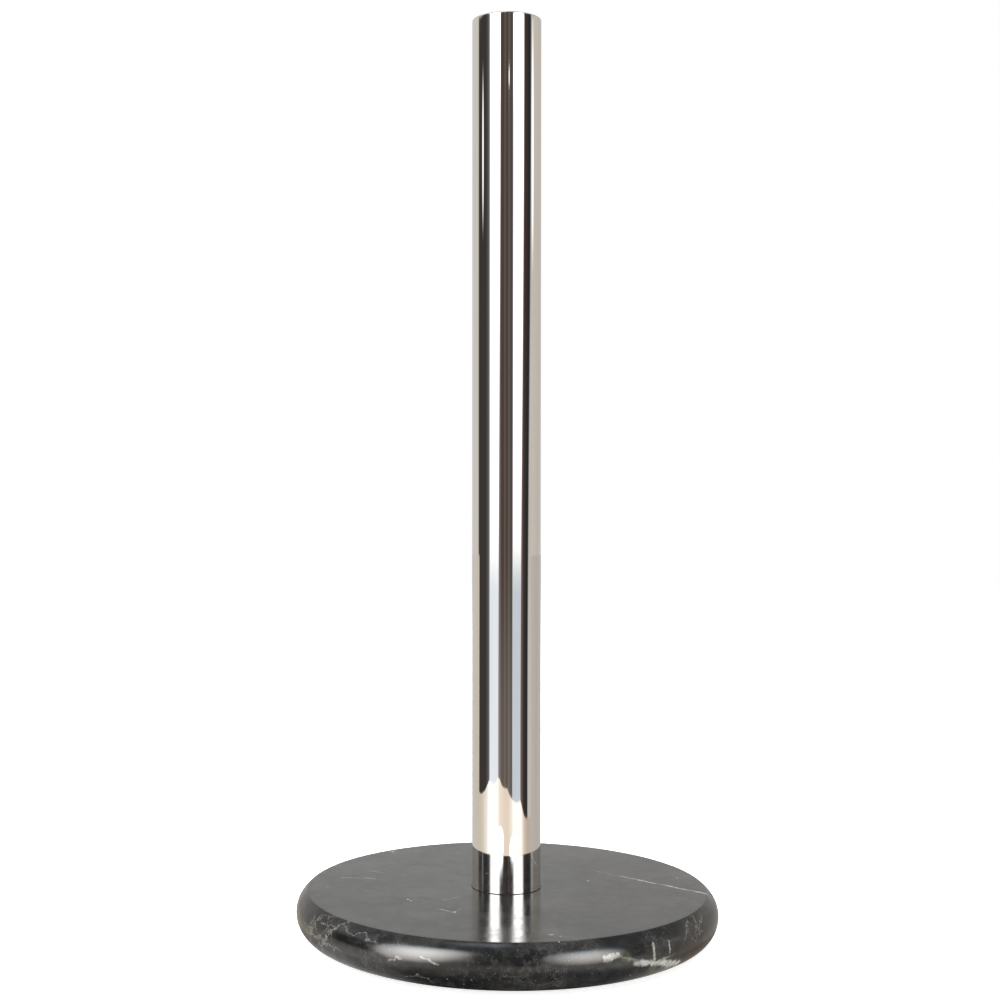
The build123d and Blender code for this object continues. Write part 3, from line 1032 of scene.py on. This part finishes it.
def strip_light(name, strip):
    """A curved upright strip that only reflections show, twice as long and as high as its light."""
    mesh = bmesh.new()
    columns = []
    for step in range(STRIP_STEPS + 1):
        along = (step / STRIP_STEPS - 0.5) * 4 * strip.half_length
        angle = radians(strip.azimuth + along)
        height = strip.height + along * strip.climb
        middle = Vector((STRIP_RADIUS * sin(angle), -STRIP_RADIUS * cos(angle), height))
        half = Vector((0, 0, 2 * strip.half_height))
        columns.append((mesh.verts.new(middle - half), mesh.verts.new(middle + half)))
    for (low, high), (next_low, next_high) in zip(columns, columns[1:]):
        mesh.faces.new((low, next_low, next_high, high))
    piece = add_object(name, mesh)
    piece.data.materials.append(strip_finish(name, strip))
    only_mirrored(piece)


def fill_light(settings):
    """A broad soft light from above that brings out colours and leaves no reflection."""
    light = bpy.data.lights.new("fill", "SUN")
    light.energy = settings.fill_strength
    light.angle = radians(FILL_SPREAD)
    fill = bpy.data.objects.new("fill", light)
    fill.rotation_euler = Euler([radians(turn) for turn in FILL_TILT])
    fill.visible_glossy = False
    bpy.context.scene.collection.objects.link(fill)


def set_camera(settings):
    data = bpy.data.cameras.new("camera")
    data.sensor_width = SENSOR_WIDTH
    data.lens = settings.focal_length
    data.shift_x = settings.camera_shift
    data.clip_start = NEAREST_SEEN
    camera = bpy.data.objects.new("camera", data)
    azimuth, distance = settings.camera_azimuth, settings.camera_distance
    camera.location = (distance * sin(azimuth), -distance * cos(azimuth), settings.camera_height)
    camera.rotation_euler = Euler((pi / 2 - settings.camera_tilt, 0.0, settings.camera_turn))
    bpy.context.scene.collection.objects.link(camera)
    bpy.context.scene.camera = camera


# ---------------------------------------------------------------- operators


class HOLDER_OT_stone_base(bpy.types.Operator):
    """Turns the marble base with its bullnose rim, and veins it"""

    bl_idname = "holder.stone_base"
    bl_label = "Stone Base"

    def execute(self, context):
        settings = context.scene.holder_stone
        outline, uneven = stone_outline(settings), stone_unevenness(settings)
        piece = turned_mesh("polished_stone_base", outline, STONE_STEPS, uneven)
        piece.data.materials.append(black_marble(settings))
        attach(piece, "root")
        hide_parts("marble_base")
        return {"FINISHED"}


class HOLDER_OT_post(bpy.types.Operator):
    """Turns the steel tube and polishes it and its cap"""

    bl_idname = "holder.post"
    bl_label = "Post"

    def execute(self, context):
        settings = context.scene.holder_post
        outline, uneven = post_outline(settings), post_unevenness(settings)
        piece = turned_mesh("polished_tube", outline, POST_STEPS, uneven)
        piece.data.materials.append(mirror_steel(settings))
        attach(piece, "root")
        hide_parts("post_tube")
        give_finish(["top_cap"], ground_steel(settings))
        return {"FINISHED"}


class HOLDER_OT_metal_fittings(bpy.types.Operator):
    """Finishes the plug, the bolt and the metal washers"""

    bl_idname = "holder.metal_fittings"
    bl_label = "Metal Fittings"

    def execute(self, context):
        settings = context.scene.holder_fittings
        bare = turned_steel("turned_steel", settings.turned_colour, rough=0.22, streak=0.01)
        zinc = turned_steel("zinc_plated_steel", settings.zinc_colour, rough=0.26, streak=0.004)
        spring = turned_steel("spring_steel", settings.spring_colour, rough=0.35, streak=0.006)
        give_finish(["threaded_plug"], bare)
        give_finish(["fixing_bolt", "flat_washer"], zinc)
        give_finish(["spring_washer"], spring)
        return {"FINISHED"}


class HOLDER_OT_rubber_fittings(bpy.types.Operator):
    """Finishes the feet, the soft washer and the gasket"""

    bl_idname = "holder.rubber_fittings"
    bl_label = "Rubber Fittings"

    def execute(self, context):
        settings = context.scene.holder_fittings
        feet = sorted(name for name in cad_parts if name.startswith("foot_"))
        if len(feet) != 4:
            raise RuntimeError(f"the packed model should have four feet, and has {feet}")
        rubber = moulded_rubber("moulded_rubber", settings.rubber_colour)
        give_finish([*feet, "rubber_washer"], rubber)
        give_finish(["seat_gasket"], moulded_rubber("brown_gasket", settings.gasket_colour))
        return {"FINISHED"}


class HOLDER_OT_stage(bpy.types.Operator):
    """Sets the camera, the floor, the table and the studio's lights"""

    bl_idname = "holder.stage"
    bl_label = "Stage"

    def execute(self, context):
        settings = context.scene.holder_stage
        rim = outline_arc((0, 0), settings.floor_radius, 0, 360, steps=FLOOR_STEPS)[:-1]
        floor = flat_shape("floor", rim, FLOOR_LEVEL, floor_finish(settings))
        floor.visible_glossy = False
        # The table is a card that only reflections show, glowing with painted light and painted shadow
        only_mirrored(flat_shape("table", table_edge(), TABLE_LEVEL, table_painted_light_finish()))
        for name, strip in STRIPS.items():
            strip_light(name, strip)
        fill_light(settings)
        studio_world(settings)
        set_camera(settings)
        context.scene.view_settings.view_transform = "Standard"
        return {"FINISHED"}


class HOLDER_PT_sidebar(bpy.types.Panel):
    bl_idname = "HOLDER_PT_sidebar"
    bl_label = "Paper Towel Holder"
    bl_space_type = "VIEW_3D"
    bl_region_type = "UI"
    bl_category = "Towel Holder"

    def draw(self, context):
        layout = self.layout
        for operator in OPERATORS:
            layout.operator(operator.bl_idname)
        for name, (label, group) in SETTINGS.items():
            box = layout.box()
            box.label(text=label)
            for field in group.__annotations__:
                box.prop(getattr(context.scene, name), field)


SETTINGS = {
    "holder_stone": ("Stone", HolderStoneSettings),
    "holder_post": ("Post", HolderPostSettings),
    "holder_fittings": ("Fittings", HolderFittingSettings),
    "holder_stage": ("Stage", HolderStageSettings),
}
OPERATORS = (
    HOLDER_OT_stone_base,
    HOLDER_OT_post,
    HOLDER_OT_metal_fittings,
    HOLDER_OT_rubber_fittings,
    HOLDER_OT_stage,
)


def register():
    for name, (_, group) in SETTINGS.items():
        bpy.utils.register_class(group)
        setattr(bpy.types.Scene, name, PointerProperty(type=group))
    for operator in OPERATORS:
        bpy.utils.register_class(operator)
    bpy.utils.register_class(HOLDER_PT_sidebar)


def unregister():
    bpy.utils.unregister_class(HOLDER_PT_sidebar)
    for operator in reversed(OPERATORS):
        bpy.utils.unregister_class(operator)
    for name, (_, group) in SETTINGS.items():
        delattr(bpy.types.Scene, name)
        bpy.utils.unregister_class(group)


def main():
    register()
    bpy.ops.holder.stone_base()
    bpy.ops.holder.post()
    bpy.ops.holder.metal_fittings()
    bpy.ops.holder.rubber_fittings()
    bpy.ops.holder.stage()


if __name__ == "__main__":
    main()
